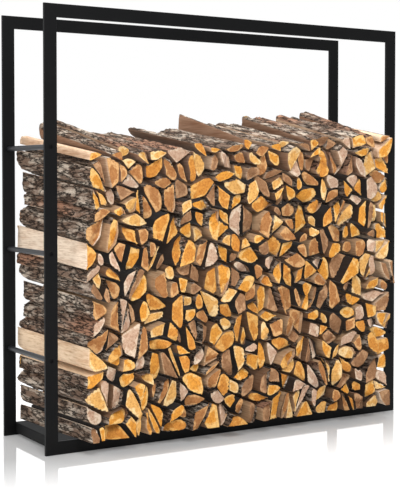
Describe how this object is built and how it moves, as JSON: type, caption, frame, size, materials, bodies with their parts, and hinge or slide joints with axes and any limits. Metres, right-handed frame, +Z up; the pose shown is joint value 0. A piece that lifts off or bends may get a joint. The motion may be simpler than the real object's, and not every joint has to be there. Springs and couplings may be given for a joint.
{
  "type": "firewood rack with stacked logs",
  "caption": "Free-standing open steel rack for firewood: two upright rectangular frames joined by side rods and a base tray, holding a stack of split logs.",
  "frame": {"origin": "on the floor, under the middle of the box round rack and logs", "axes": "+X to the right along the rack's long side, +Y from the front frame to the rear one, +Z up"},
  "size_m": [1, 0.3452, 1],
  "materials": {
    "powder_coated_frame": "matt black powder coat",
    "powder_coated_rod": "satin black powder coat",
    "powder_coated_tray": "matt black powder coat",
    "split_firewood": "split and sawn faces with rough bark"
  },
  "bodies": {
    "root": {"front_left_post": "powder_coated_frame", "front_right_post": "powder_coated_frame", "front_bottom_rail": "powder_coated_frame", "front_top_rail": "powder_coated_frame", "rear_left_post": "powder_coated_frame", "rear_right_post": "powder_coated_frame", "rear_bottom_rail": "powder_coated_frame", "rear_top_rail": "powder_coated_frame", "left_lower_rod": "powder_coated_rod", "left_middle_rod": "powder_coated_rod", "left_upper_rod": "powder_coated_rod", "right_lower_rod": "powder_coated_rod", "right_middle_rod": "powder_coated_rod", "right_upper_rod": "powder_coated_rod", "base_tray": "powder_coated_tray", "log_course_1": "split_firewood", "log_course_2": "split_firewood", "log_course_3": "split_firewood", "log_course_4": "split_firewood", "log_course_5": "split_firewood", "log_course_6": "split_firewood", "log_course_7": "split_firewood", "log_course_8": "split_firewood", "log_course_9": "split_firewood", "log_course_10": "split_firewood", "log_course_11": "split_firewood"}
  },
  "joints": []
}
